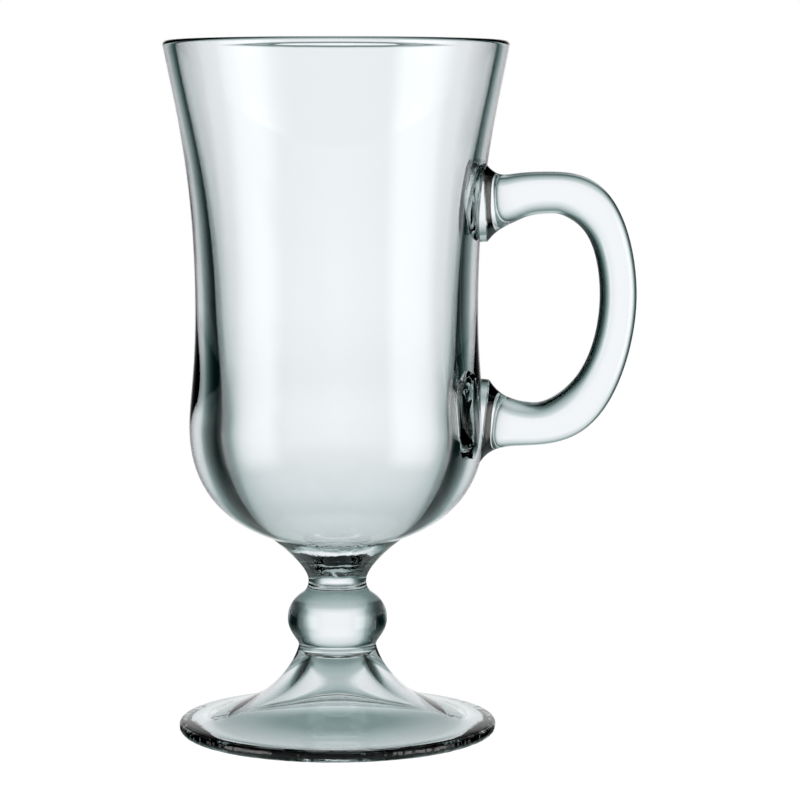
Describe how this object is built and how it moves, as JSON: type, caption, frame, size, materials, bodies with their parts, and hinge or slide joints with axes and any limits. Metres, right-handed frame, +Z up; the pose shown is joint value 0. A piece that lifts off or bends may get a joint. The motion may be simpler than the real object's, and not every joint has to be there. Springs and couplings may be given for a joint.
{
  "type": "irish coffee glass mug",
  "caption": "Tall footed glass mug for hot drinks: waisted bowl, short neck and knop, hollow bell foot, and a looped side handle.",
  "frame": {"origin": "on the table, at the middle of the foot's contact ring, on the axis of the turned pieces", "axes": "+Z up along the axis of the turned pieces, +X from that axis towards the handle"},
  "size_m": [0.1, 0.073, 0.1473],
  "materials": {
    "clear_glass": "fire-polished, faintly grey-green clear glass"
  },
  "bodies": {
    "root": {"bowl": "clear_glass", "neck": "clear_glass", "knop": "clear_glass", "foot": "clear_glass", "handle": "clear_glass"}
  },
  "joints": []
}
